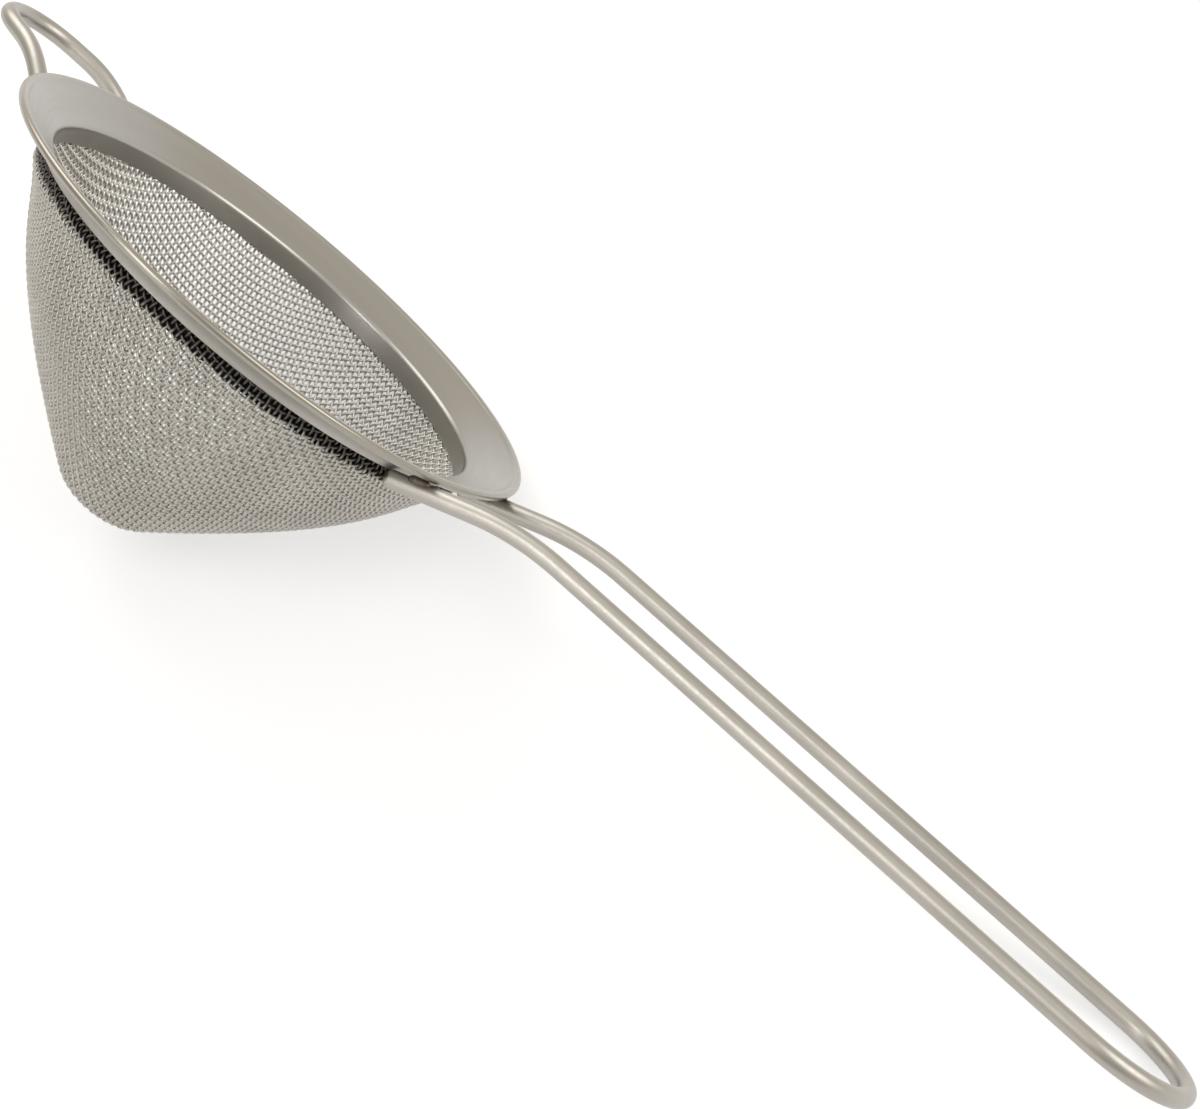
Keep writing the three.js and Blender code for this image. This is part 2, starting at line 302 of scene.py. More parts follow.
@dataclass
class PressedRim:
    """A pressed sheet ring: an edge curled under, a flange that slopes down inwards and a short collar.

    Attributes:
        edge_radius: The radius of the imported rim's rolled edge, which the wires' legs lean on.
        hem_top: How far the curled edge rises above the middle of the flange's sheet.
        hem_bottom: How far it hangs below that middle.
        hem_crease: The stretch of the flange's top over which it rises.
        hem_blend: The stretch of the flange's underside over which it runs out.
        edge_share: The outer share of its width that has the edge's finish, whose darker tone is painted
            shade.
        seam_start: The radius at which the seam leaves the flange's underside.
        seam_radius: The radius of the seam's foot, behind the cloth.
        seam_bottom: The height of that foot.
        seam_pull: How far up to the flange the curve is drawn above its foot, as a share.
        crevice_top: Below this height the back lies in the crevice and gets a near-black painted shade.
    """

    radius: float = 42.5
    edge_radius: float = 0.5
    sheet: float = 0.4
    collar_radius: float = 35.0
    flange_tilt: float = 24.4
    collar_bottom: float = -6.25
    bend_radius: float = 0.9
    hem_width: float = 1.6
    hem_top: float = 0.34
    hem_bottom: float = 0.86
    hem_crease: float = 0.7
    hem_blend: float = 1.4
    edge_share: float = 0.6
    seam_start: float = 38.4
    seam_radius: float = 36.3
    seam_bottom: float = -4.05
    seam_pull: float = 0.6
    crevice_top: float = -4.0
    turn_steps: int = 240
    bend_steps: int = 8
    hem_steps: int = 20
    crease: float = 50.0
    merge_distance: float = 1e-5

    @property
    def edge_centre(self) -> Vector:
        """The middle of the edge that the wires lean on, in the section."""
        return Vector((self.radius - self.edge_radius, -self.edge_radius))

    @property
    def slope(self) -> Vector:
        """The direction of the flange in the section, upwards and outwards."""
        tilt = math.radians(self.flange_tilt)
        return Vector((math.cos(tilt), math.sin(tilt)))

    def hem_point(self, along: float, above: float) -> Vector:
        """A point of the section, from its distances along the flange and above its sheet's middle.

        Args:
            along: Distance outwards from the middle of the hem, along the flange.
            above: Distance above the middle of the flange's sheet, square to it.

        Returns:
            The point, as radius and height.
        """
        slope = self.slope
        square = Vector((-slope.y, slope.x))
        half = (self.hem_top + self.hem_bottom) / 2
        out = math.hypot(self.hem_width / 2 * slope.x, half * slope.y)
        up = math.hypot(self.hem_width / 2 * slope.y, half * slope.x)
        middle = Vector((self.radius - out, -up)) - square * (self.hem_top - half)
        return middle + slope * along + square * above

    def flange_point(self, height: float, radius: float) -> Flat:
        """Where a line parallel to the flange, at a height above its top face, reaches a radius."""
        slope = self.slope
        start = self.hem_point(0.0, self.sheet / 2 + height)
        return radius, start.y + slope.y / slope.x * (radius - start.x)

    def hem_line(self) -> list[Flat]:
        """The hem from the flange's top face round its outer side to the flange's underside."""
        top = self.hem_top
        bottom = -self.hem_bottom
        lip = self.sheet / 2
        crease = self.hem_crease
        blend = self.hem_blend
        rise = ((-crease, lip), (-crease / 2, lip), (-crease / 2, top), (0.0, top))
        drop = ((0.0, bottom), (-blend / 2, bottom), (-blend / 2, -lip), (-blend, -lip))
        over = bezier([self.hem_point(*place) for place in rise], self.bend_steps)
        under = bezier([self.hem_point(*place) for place in drop], self.bend_steps)
        half = (top - bottom) / 2
        middle = (top + bottom) / 2
        turns = [math.pi / 2 - math.pi * i / self.hem_steps for i in range(self.hem_steps + 1)]
        width = self.hem_width / 2
        nose = [self.hem_point(width * math.cos(a), middle + half * math.sin(a)) for a in turns]
        return [tuple(point) for point in (*over, *nose[1:-1], *under)]

    def section(self) -> list[Flat]:
        """The closed section, from the collar's lower edge up its inner face and back."""
        turn = math.pi / 2 - math.radians(self.flange_tilt)
        inner = self.collar_radius
        bottom = self.collar_bottom
        lip = self.sheet / 2
        bend_y = self.flange_point(0.0, inner)[1] - self.bend_radius * math.tan(turn / 2)
        bend = (inner + self.bend_radius, bend_y)
        foot = Vector((self.seam_radius, self.seam_bottom))
        seam = (
            Vector(self.flange_point(-self.sheet, self.seam_start)),
            Vector(self.flange_point(-self.sheet, (self.seam_start + self.seam_radius) / 2)),
            foot.lerp(Vector(self.flange_point(-self.sheet, self.seam_radius)), self.seam_pull),
            foot,
        )
        return [
            *arc((inner + lip, bottom + lip), lip, 2 * math.pi, math.pi, self.bend_steps),
            *arc(bend, self.bend_radius, math.pi, math.pi - turn, self.bend_steps),
            *self.hem_line(),
            *[tuple(point) for point in bezier(seam, self.bend_steps)],
            (inner + self.sheet, self.seam_bottom),
        ]

    def face_of(self, place: Vector) -> RimFace:
        """Which finish a face has, from its middle."""
        radius = math.hypot(place.x, place.y)
        if radius > self.radius - self.hem_width * self.edge_share:
            return RimFace.EDGE
        # The flange's back gets a lighter tone, which is painted light
        middle = self.flange_point(-self.sheet / 2, radius)[1]
        if place.z > middle or radius < self.collar_radius + self.sheet / 2:
            return RimFace.SHOWN
        # Below crevice_top the back gets painted shade
        if place.z < self.crevice_top:
            return RimFace.CREVICE
        return RimFace.BACK

    def build(self) -> bpy.types.Mesh:
        """Spins the section round the rim's axis, and gives each face its finish.

        Returns:
            The rim's mesh.
        """
        shape = bmesh.new()
        verts = [shape.verts.new((x, 0.0, y)) for x, y in self.section()]
        edges = [shape.edges.new((a, b)) for a, b in zip(verts, verts[1:] + verts[:1])]
        bmesh.ops.spin(
            shape,
            geom=verts + edges,
            cent=(0, 0, 0),
            axis=(0, 0, 1),
            angle=2 * math.pi,
            steps=self.turn_steps,
            use_merge=True,
        )
        bmesh.ops.remove_doubles(shape, verts=shape.verts, dist=self.merge_distance)
        for face in shape.faces:
            face.material_index = self.face_of(face.calc_center_median()).value
        return smooth_shaded(shape, "rim_ring_sheet", self.crease)


# Woven wire cone


@dataclass
class WovenCone:
    """Plain woven wire cloth pressed to a blunt cone, every wire its own bent strand.

    A flat round blank is laid over the form: a point keeps its bearing round the axis, and its distance
    from the blank's middle becomes the distance along the form from the cone's tip.

    Attributes:
        line: The form's section from its tip to the cloth's edge, as radius and height.
        reach: How far along that line each of its points is.
    """

    rim: PressedRim
    thickness: float = 0.8
    depth: float = 41.45
    end_radius: float = 6.7
    end_dome: float = 1.3
    end_round: float = 1.4
    neck_reach: float = 8.0
    neck_bulge: float = 0.3
    belly_reach: float = 10.0
    belly_bulge: float = 4.6
    pitch: float = 1.1
    wire: float = 0.4
    bearing: float = 36.0
    steps_per_pitch: int = 3
    section_rings: int = 1
    pieces_per_set: int = 2
    line_steps: int = 40
    line: list[Vector] = field(init=False, repr=False)
    reach: list[float] = field(init=False, repr=False)

    def __post_init__(self) -> None:
        """Works out the form's line, and how far along it each of its points is."""
        self.line = self.form_line()
        self.reach = [0.0]
        for a, b in zip(self.line, self.line[1:]):
            self.reach.append(self.reach[-1] + (b - a).length)

    def form_line(self) -> list[Vector]:
        """The middle of the cloth in the section, as radius and height.

        Returns:
            Points from the tip on the axis to the cloth's edge under the flange.
        """
        half = self.thickness / 2
        collar = self.rim.collar_radius + self.rim.sheet + half
        top = Vector((collar, self.rim.collar_bottom))
        end = Vector((self.end_radius - half / 2, -self.depth + self.end_dome + half))
        down = (end - top).normalized()
        outward = Vector((-down.y, down.x))
        neck = top + down * self.neck_reach + outward * self.neck_bulge
        belly = top + down * self.belly_reach + outward * self.belly_bulge
        tip = Vector((0.0, -self.depth + half))
        dome = Vector((end.x / 2, tip.y))
        side_start = toward(end, belly, self.end_round)
        dome_end = toward(end, dome, self.end_round)
        edge = self.rim.flange_point(-self.rim.sheet - half, collar + half)
        return [
            *bezier((tip, dome, dome_end), self.line_steps),
            *bezier((dome_end, end, side_start), self.line_steps)[1:],
            *bezier((side_start, belly, neck, top), self.line_steps)[1:],
            Vector((collar, edge[1] - half)),
        ]

    def on_form(self, distance: float) -> tuple[Vector, Vector]:
        """The form's point at a distance from its tip.

        Args:
            distance: Distance along the form's line.

        Returns:
            The point and the outward normal, both as radius and height.
        """
        index = 1
        while index < len(self.reach) - 1 and self.reach[index] < distance:
            index += 1
        a, b = self.line[index - 1], self.line[index]
        share = (distance - self.reach[index - 1]) / (self.reach[index] - self.reach[index - 1])
        along = (b - a).normalized()
        return a.lerp(b, share), Vector((along.y, -along.x))

    def laid(self, x: float, y: float, lift: float) -> Point:
        """A point of the blank, lifted off it, laid over the form.

        Args:
            x: Place on the blank along the first set of wires.
            y: Place on the blank along the second set.
            lift: Height off the cloth's middle, outwards.

        Returns:
            The point in the rim's axes.
        """
        place, normal = self.on_form(math.hypot(x, y))
        bearing = math.atan2(y, x) + math.radians(self.bearing)
        radius = place.x + normal.x * lift
        return radius * math.cos(bearing), radius * math.sin(bearing), place.y + normal.y * lift

    def strand(self, number: int, across: bool) -> list[Point]:
        """One wire, going over and under the wires that it crosses.

        Args:
            number: The wire's number in its set, counted from the blank's middle.
            across: True for the second set, whose wires cross those of the first.

        Returns:
            The points that it follows.
        """
        offset = (number + 0.5) * self.pitch
        half = math.sqrt(self.reach[-1] ** 2 - offset**2)
        steps = max(2, round(2 * half / self.pitch * self.steps_per_pitch))
        sign = -1.0 if (number % 2 == 0) == across else 1.0
        points = []
        for i in range(steps + 1):
            run = -half + 2 * half * i / steps
            lift = sign * self.wire / 2 * math.sin(math.pi * run / self.pitch)
            points.append(self.laid(offset, run, lift) if across else self.laid(run, offset, lift))
        return points

    def build(self) -> list[tuple[str, bpy.types.Mesh]]:
        """Makes every wire of both sets.

        Returns:
            The name and mesh of each piece.
        """
        most = int(self.reach[-1] / self.pitch - 0.5)
        numbers = [n for n in range(-most - 1, most + 1) if abs(n + 0.5) * self.pitch < self.reach[-1]]
        share = math.ceil(len(numbers) / self.pieces_per_set)
        pieces = []
        for set_name, across in (("warp", False), ("weft", True)):
            for part in range(self.pieces_per_set):
                chosen = numbers[part * share : (part + 1) * share]
                name = f"cone_{set_name}_wires_{part + 1}"
                lines = [self.strand(number, across) for number in chosen]
                pieces.append((name, tube_mesh(name, lines, self.wire / 2, self.section_rings)))
        return pieces


# Bent wires


@dataclass
class LegSeat:
    """The straight of a wire's leg on the side +Y that leans on the rolled edge from below.

    Attributes:
        nearest: The leg's point nearest the rim's axis, in plan.
        outward: The leg's direction away from the rim, in plan.
        end_radius: How far from the axis the leg ends.
        slope: The leg's rise outwards, in degrees.
    """

    rim: PressedRim
    nearest: Vector
    outward: Vector
    wire_radius: float
    end_radius: float
    slope: float = 22.0
    clearance: float = 0.3

    def to_circle(self, radius: float) -> float:
        """Distance along the leg from its nearest point to a circle about the axis."""
        return math.sqrt(radius**2 - self.nearest.length_squared)

    @property
    def edge_distance(self) -> float:
        """Distance along the leg, in plan, to the middle of the rolled edge."""
        return self.to_circle(self.rim.edge_centre.x)

    @property
    def end_distance(self) -> float:
        """Distance from the rolled edge back to the leg's end."""
        return self.to_circle(self.end_radius) - self.edge_distance

    def at(self, distance: float) -> Vector:
        """The leg's middle at a plan distance outward from the rolled edge."""
        square = self.edge_distance / self.rim.edge_centre.x
        below = (self.rim.edge_radius + self.clearance) / square + self.wire_radius
        tilt = math.radians(self.slope)
        plan = self.nearest + self.outward * (self.edge_distance + distance)
        height = self.rim.edge_centre.y - below / math.cos(tilt) + distance * math.tan(tilt)
        return Vector((plan.x, plan.y, height))

    @property
    def beside(self) -> Vector:
        """The plan direction square to the leg, away from the other leg."""
        return Vector((-self.outward.y, self.outward.x)) * math.copysign(1.0, self.outward.x)


@dataclass
class BentWire:
    """A round wire bent to two legs and a round turn, its legs seated under the flange.

    Attributes:
        end_gap: The gap between a leg's end and the cloth.
        end_depth: The length of a leg's rounded end, as a share of the wire's radius.
        end_flat: The flat middle of that end, as a share of the wire's radius.
    """

    rim: PressedRim
    cone: WovenCone
    diameter: float = 2.6
    bend_steps: int = 12
    turn_steps: int = 24
    end_steps: int = 6
    section_rings: int = 10
    end_gap: float = 0.35
    end_depth: float = 0.85
    end_flat: float = 0.3

    @property
    def wire_radius(self) -> float:
        """The wire's radius."""
        return self.diameter / 2

    def seat_on(self, nearest: Vector, outward: Vector) -> LegSeat:
        """The seat of a leg, whose end stops short of the cloth."""
        cloth = self.rim.collar_radius + self.rim.sheet + self.cone.thickness
        return LegSeat(self.rim, nearest, outward, self.wire_radius, cloth + self.end_gap)

    def rounded_end(self, end: Vector, inward: Vector) -> list[Vector]:
        """Points that close a leg's end with a soft edge, from the end inwards.

        Args:
            end: The leg's last point.
            inward: The direction into the wire.

        Returns:
            The points, whose radii follow end_taper.
        """
        depth = self.wire_radius * self.end_depth
        return [end + inward * depth * (1 - math.cos(angle)) for angle in self.end_angles]

    @property
    def end_angles(self) -> list[float]:
        """Angles round a leg's rounded end, from its face to its side."""
        return [math.pi / 2 * i / self.end_steps for i in range(self.end_steps + 1)]

    @property
    def end_taper(self) -> list[float]:
        """Shares of the wire's radius at a rounded end's points."""
        return [self.end_flat + (1 - self.end_flat) * math.sin(angle) for angle in self.end_angles]

    def route(
        self,
        end: Vector,
        corner: Vector,
        turn: Vector,
        bend: float,
        tip: Vector,
        pull: float,
    ) -> list[Point]:
        """The whole wire: a leg on the side +Y, the turn, and the other leg as its mirror image.

        Args:
            end: The leg's end under the flange.
            corner: Where the leg's two straights would meet.
            turn: Where the leg goes into the turn.
            bend: The length of the bend on each side of the corner.
            tip: The turn's outermost point.
            pull: The length of the turn's Bezier handles.

        Returns:
            The points that the wire follows.
        """
        before = toward(corner, end, bend)
        after = toward(corner, turn, bend)
        leave = turn + (turn - after).normalized() * pull
        arrive = tip + Vector((0.0, pull, 0.0))
        leg = [
            *self.rounded_end(end, (before - end).normalized()),
            *bezier((before, corner, after), self.bend_steps),
            *bezier((after, turn), self.turn_steps)[1:],
            *bezier((turn, leave, arrive, tip), self.turn_steps)[1:],
        ]
        mirrored = [Vector((p.x, -p.y, p.z)) for p in reversed(leg[:-1])]
        return [tuple(point) for point in leg + mirrored]

    def build(self, name: str, points: list[Point]) -> bpy.types.Mesh:
        """Makes the wire along its route."""
        return tube_mesh(name, [points], self.wire_radius, self.section_rings, self.end_taper)


@dataclass
class HairpinHandle(BentWire):
    """The handle: two long legs side by side, bent where they leave the rim."""

    half_width: float = 11.3
    reach: float = 157.1
    bend_reach: float = 53.4
    bend_length: float = 7.0
    tilt: float = 4.35

    def seat(self) -> LegSeat:
        """The seat of the leg on the side +Y."""
        return self.seat_on(Vector((0.0, self.half_width)), Vector((1.0, 0.0)))

    def points(self) -> list[Point]:
        """The points that the handle's wire follows."""
        seat = self.seat()
        corner = seat.at(self.bend_reach - seat.edge_distance)
        tilt = math.radians(self.tilt)
        along = Vector((math.cos(tilt), 0.0, math.sin(tilt)))
        turn = corner + along * ((self.reach - corner.x) / along.x - self.half_width)
        tip = Vector((turn.x, 0.0, turn.z)) + along * self.half_width
        pull = arc_pull(self.half_width, math.pi / 2)
        return self.route(seat.at(seat.end_distance), corner, turn, self.bend_length, tip, pull)


@dataclass
class RestLoop(BentWire):
    """The rest: a short loop opposite the handle, whose legs spread towards the rim."""

    reach: float = 58.1
    radius: float = 7.75
    splay: float = 18.0
    bend_reach: float = 47.0
    bend_length: float = 3.5

    @property
    def outward(self) -> Vector:
        """The plan direction of the leg on the side +Y, away from the rim."""
        splay = math.radians(self.splay)
        return Vector((-math.cos(splay), -math.sin(splay)))

    def tangent(self) -> Vector:
        """Where that leg goes into the turn, in plan."""
        middle = self.radius - self.reach
        return Vector((middle + self.radius * self.outward.y, -self.radius * self.outward.x))

    def seat(self) -> LegSeat:
        """The seat of the leg on the side +Y."""
        tangent = self.tangent()
        return self.seat_on(tangent - self.outward * tangent.dot(self.outward), self.outward)

    def points(self) -> list[Point]:
        """The points that the loop's wire follows."""
        seat = self.seat()
        start = seat.nearest + seat.outward * seat.edge_distance
        corner = seat.at((-self.bend_reach - start.x) / seat.outward.x)
        tangent = self.tangent()
        turn = Vector((tangent.x, tangent.y, corner.z))
        tip = Vector((-self.reach, 0.0, corner.z))
        pull = arc_pull(self.radius, math.pi / 2 - math.radians(self.splay))
        return self.route(seat.at(seat.end_distance), corner, turn, self.bend_length, tip, pull)


# Weld beads


@dataclass
class WeldBead:
    """A bead of weld beside one leg of a wire, in the corner between the leg and the flange's underside.

    Attributes:
        along: The bead's place between the rolled edge and the leg's end, as a share.
        aside: Its distance beside the leg's middle, as a share of the wire's radius.
        above: Its height above the leg's middle, as a share of the wire's radius.
        ripple: How far its rings rise and fall, as a share of its thickness.
    """

    seat: LegSeat
    width: float = 1.3
    length: float = 3.4
    along: float = 0.25
    aside: float = 0.6
    above: float = 0.95
    rows: int = 24
    columns: int = 32
    ripple: float = 0.05
    ripples: int = 5
    crease: float = 60.0

    def build(self, name: str, side: Side) -> bpy.types.Mesh:
        """Makes the bead.

        Args:
            name: The mesh's name.
            side: Which of the wire's legs it lies beside.

        Returns:
            The bead's mesh.
        """
        shape = bmesh.new()
        bmesh.ops.create_uvsphere(
            shape, u_segments=self.columns, v_segments=self.rows, radius=self.width / 2
        )
        lying = Matrix.Rotation(math.pi / 2, 3, "Y")
        bmesh.ops.rotate(shape, verts=shape.verts, cent=(0, 0, 0), matrix=lying)
        for vert in shape.verts:
            wave = 1 + self.ripple * math.sin(2 * math.pi * self.ripples * vert.co.x / self.width)
            vert.co = Vector((vert.co.x * self.length / self.width, vert.co.y * wave, vert.co.z * wave))
        seat = self.seat
        beside = seat.beside * (seat.wire_radius * self.aside)
        place = seat.at(seat.end_distance * self.along)
        place += Vector((beside.x, beside.y, seat.wire_radius * self.above))
        lean = Matrix.Rotation(-math.radians(seat.slope), 3, "Y")
        heading = Matrix.Rotation(side.value * math.atan2(seat.outward.y, seat.outward.x), 3, "Z")
        bmesh.ops.rotate(shape, verts=shape.verts, cent=(0, 0, 0), matrix=heading @ lean)
        bmesh.ops.translate(shape, verts=shape.verts, vec=(place.x, side.value * place.y, place.z))
        return smooth_shaded(shape, name, self.crease)


# Finishes

# Detail and roughness of the two noises, and the grain's share in the uneven surface
CLOUD_NOISE = (3.0, 0.55)
GRAIN_NOISE = (4.0, 0.65)
GRAIN_HEIGHT = 0.6

# The stretch of each noise over which tone and gloss go from one end to the other
TONE_SPAN = (0.3, 0.7)
GLOSS_SPAN = (0.25, 0.75)

# How far a ringed pattern changes along the rings
RING_DRIFT = (0.04, 0.04, 0.0)

# Painted shade on the cloth's edge, tucked round the collar under the flange: heights where the shade
# starts and is full, and its colour
TUCK_START = -6.3
TUCK_FULL = -5.3
TUCK_SHADE = (0.10, 0.094, 0.086)


def handled_steel_group() -> bpy.types.NodeTree:
    """The shared effect of handled steel: cloudy tone, fine grain in the gloss and a faint uneven surface.

    Returns:
        A node group with Vector, Cloud Scale and Grain Scale inputs, and Tone, Grain and Height outputs.
    """
    group = bpy.data.node_groups.new("handled_steel", "ShaderNodeTree")
    group.interface.new_socket("Vector", in_out="INPUT", socket_type="NodeSocketVector")
    for name in ("Cloud Scale", "Grain Scale"):
        group.interface.new_socket(name, in_out="INPUT", socket_type="NodeSocketFloat")
    for name in ("Tone", "Grain", "Height"):
        group.interface.new_socket(name, in_out="OUTPUT", socket_type="NodeSocketFloat")
    nodes, links = group.nodes, group.links
    source = nodes.new("NodeGroupInput")
    sink = nodes.new("NodeGroupOutput")
    cloud = nodes.new("ShaderNodeTexNoise")
    grain = nodes.new("ShaderNodeTexNoise")
    for noise, scale, (detail, roughness) in (
        (cloud, "Cloud Scale", CLOUD_NOISE),
        (grain, "Grain Scale", GRAIN_NOISE),
    ):
        noise.inputs["Detail"].default_value = detail
        noise.inputs["Roughness"].default_value = roughness
        links.new(source.outputs["Vector"], noise.inputs["Vector"])
        links.new(source.outputs[scale], noise.inputs["Scale"])
    blend = nodes.new("ShaderNodeMath")
    blend.operation = "MULTIPLY_ADD"
    blend.inputs[1].default_value = GRAIN_HEIGHT
    links.new(grain.outputs["Fac"], blend.inputs[0])
    links.new(cloud.outputs["Fac"], blend.inputs[2])
    links.new(cloud.outputs["Fac"], sink.inputs["Tone"])
    links.new(grain.outputs["Fac"], sink.inputs["Grain"])
    links.new(blend.outputs["Value"], sink.inputs["Height"])
    return group


@dataclass(frozen=True)
class SteelFinish:
    """A steel finish: two tones that blend in clouds, a range of gloss and a fine uneven surface.

    Attributes:
        smooth: The least roughness.
        rough: The greatest roughness.
        bump: The strength of the uneven surface.
        bump_depth: Its depth, in metres.
        ringed: Whether the pattern runs in rings about the rim's axis.
        tucked: Whether the finish gets painted shade towards the cloth's tucked edge, under the flange.
    """

    name: str
    dark: Colour
    light: Colour
    smooth: float
    rough: float
    cloud_scale: float
    grain_scale: float
    bump: float
    bump_depth: float = 0.00002
    ringed: bool = False
    tucked: bool = False

    def material(self, group: bpy.types.NodeTree, axes: RimAxes) -> bpy.types.Material:
        """Makes the finish's material.

        Args:
            group: The shared handled steel effect.
            axes: The rim's axes, for a finish that is ringed or tucked.

        Returns:
            The material.
        """
        material = bpy.data.materials.new(self.name)
        material.use_nodes = True
        nodes, links = material.node_tree.nodes, material.node_tree.links
        shader = nodes["Principled BSDF"]
        shader.inputs["Metallic"].default_value = 1.0
        effect = nodes.new("ShaderNodeGroup")
        effect.node_tree = group
        effect.inputs["Cloud Scale"].default_value = self.cloud_scale
        effect.inputs["Grain Scale"].default_value = self.grain_scale
        links.new(self.pattern_place(nodes, links, axes), effect.inputs["Vector"])
        tone = nodes.new("ShaderNodeValToRGB")
        for stop, position, colour in zip(tone.color_ramp.elements, TONE_SPAN, (self.dark, self.light)):
            stop.position = position
            stop.color = (*colour, 1.0)
        gloss = nodes.new("ShaderNodeMapRange")
        gloss.inputs["From Min"].default_value = GLOSS_SPAN[0]
        gloss.inputs["From Max"].default_value = GLOSS_SPAN[1]
        gloss.inputs["To Min"].default_value = self.smooth
        gloss.inputs["To Max"].default_value = self.rough
        bump = nodes.new("ShaderNodeBump")
        bump.inputs["Strength"].default_value = self.bump
        bump.inputs["Distance"].default_value = self.bump_depth
        links.new(effect.outputs["Tone"], tone.inputs["Fac"])
        shown = tone.outputs["Color"]
        # Painted shade on the cloth over the collar, under the flange
        if self.tucked:
            shown = self.painted_edge_shade(nodes, links, axes, shown)
        links.new(shown, shader.inputs["Base Color"])
        links.new(effect.outputs["Grain"], gloss.inputs["Value"])
        links.new(gloss.outputs["Result"], shader.inputs["Roughness"])
        links.new(effect.outputs["Height"], bump.inputs["Height"])
        links.new(bump.outputs["Normal"], shader.inputs["Normal"])
        return material

    def pattern_place(
        self, nodes: bpy.types.Nodes, links: bpy.types.NodeLinks, axes: RimAxes
    ) -> bpy.types.NodeSocket:
        """The place that the pattern reads: the object's own, or distance from the rim's axis and height.

        Args:
            nodes: The material's nodes.
            links: The material's links.
            axes: The rim's axes.

        Returns:
            The socket that gives the place.
        """
        if not self.ringed:
            return nodes.new("ShaderNodeTexCoord").outputs["Object"]
        place = self.rim_place(nodes, links, axes)
        split = nodes.new("ShaderNodeSeparateXYZ")
        flat = nodes.new("ShaderNodeCombineXYZ")
        length = nodes.new("ShaderNodeVectorMath")
        length.operation = "LENGTH"
        ring = nodes.new("ShaderNodeCombineXYZ")
        slow = nodes.new("ShaderNodeVectorMath")
        slow.operation = "MULTIPLY_ADD"
        slow.inputs[1].default_value = RING_DRIFT
        links.new(place, split.inputs["Vector"])
        links.new(split.outputs["X"], flat.inputs["X"])
        links.new(split.outputs["Y"], flat.inputs["Y"])
        links.new(flat.outputs["Vector"], length.inputs[0])
        links.new(length.outputs["Value"], ring.inputs["X"])
        links.new(split.outputs["Z"], ring.inputs["Z"])
        links.new(place, slow.inputs[0])
        links.new(ring.outputs["Vector"], slow.inputs[2])
        return slow.outputs["Vector"]

    @staticmethod
    def rim_place(
        nodes: bpy.types.Nodes, links: bpy.types.NodeLinks, axes: RimAxes
    ) -> bpy.types.NodeSocket:
        """The place on the object in the rim's axes, in metres.

        Args:
            nodes: The material's nodes.
            links: The material's links.
            axes: The rim's axes.

        Returns:
            The socket that gives the place.
        """
        to_rim = nodes.new("ShaderNodeMapping")
        to_rim.vector_type = "TEXTURE"
        to_rim.inputs["Location"].default_value = axes.to_frame.to_translation()
        to_rim.inputs["Rotation"].default_value = axes.to_frame.to_euler()
        links.new(nodes.new("ShaderNodeTexCoord").outputs["Object"], to_rim.inputs["Vector"])
        return to_rim.outputs["Vector"]

    def painted_edge_shade(
        self,
        nodes: bpy.types.Nodes,
        links: bpy.types.NodeLinks,
        axes: RimAxes,
        colour: bpy.types.NodeSocket,
    ) -> bpy.types.NodeSocket:
        """Paints shade on the cloth's edge, which is tucked round the collar under the flange.

        Args:
            nodes: The material's nodes.
            links: The material's links.
            axes: The rim's axes.
            colour: The colour of the open cloth.

        Returns:
            The socket that gives the colour.
        """
        split = nodes.new("ShaderNodeSeparateXYZ")
        mask = nodes.new("ShaderNodeMapRange")
        mask.inputs["From Min"].default_value = TUCK_START * MM
        mask.inputs["From Max"].default_value = TUCK_FULL * MM
        mix = nodes.new("ShaderNodeMix")
        mix.data_type = "RGBA"
        mix.inputs["B"].default_value = (*TUCK_SHADE, 1.0)
        links.new(self.rim_place(nodes, links, axes), split.inputs["Vector"])
        links.new(split.outputs["Z"], mask.inputs["Value"])
        links.new(mask.outputs["Result"], mix.inputs["Factor"])
        links.new(colour, mix.inputs["A"])
        return mix.outputs["Result"]


SATIN_SHEET = SteelFinish(
    "satin_sheet", (0.35, 0.338, 0.315), (0.405, 0.391, 0.365), 0.26, 0.36, 90.0, 2600.0, 0.12, ringed=True
)
# The flange's underside: rougher than the shown face, and a lighter tone that is painted light lifting its
# shade
UNDERSIDE_PAINTED_LIGHT = SteelFinish(
    "underside_painted_light", (0.415, 0.397, 0.363), (0.48, 0.461, 0.426), 0.5, 0.62, 90.0, 2600.0, 0.1
)
# Near-black finish for the sheet's back in the crevice behind the cloth: painted shade where the flange
# shades the collar
CREVICE_PAINTED_SHADE = SteelFinish(
    "crevice_painted_shade", (0.02, 0.018, 0.016), (0.05, 0.045, 0.04), 0.5, 0.7, 300.0, 2600.0, 0.1
)
# The rolled edge: a darker, warmer tone than the flange's sheet, painted shade standing in for the darker
# reflection along the roll
ROLLED_EDGE = SteelFinish(
    "rolled_edge", (0.32, 0.298, 0.26), (0.375, 0.35, 0.308), 0.24, 0.32, 90.0, 2600.0, 0.08, ringed=True
)
# The cloth gets painted shade over the collar, under the flange
WOVEN_WIRE = SteelFinish(
    "woven_wire", (0.465, 0.449, 0.416), (0.54, 0.523, 0.486), 0.34, 0.44, 120.0, 1500.0, 0.0, tucked=True
)
DRAWN_WIRE = SteelFinish(
    "drawn_wire", (0.385, 0.365, 0.333), (0.46, 0.438, 0.402), 0.34, 0.44, 70.0, 1800.0, 0.04
)
# Weld beads: a dark heat tint, and darker still as painted shade, so they sit in the dark gap under the
# flange
WELD_TINT_AND_SHADE = SteelFinish(
    "weld_tint_and_shade", (0.07, 0.058, 0.047), (0.18, 0.155, 0.13), 0.4, 0.6, 500.0, 4000.0, 0.5
)


# Stage


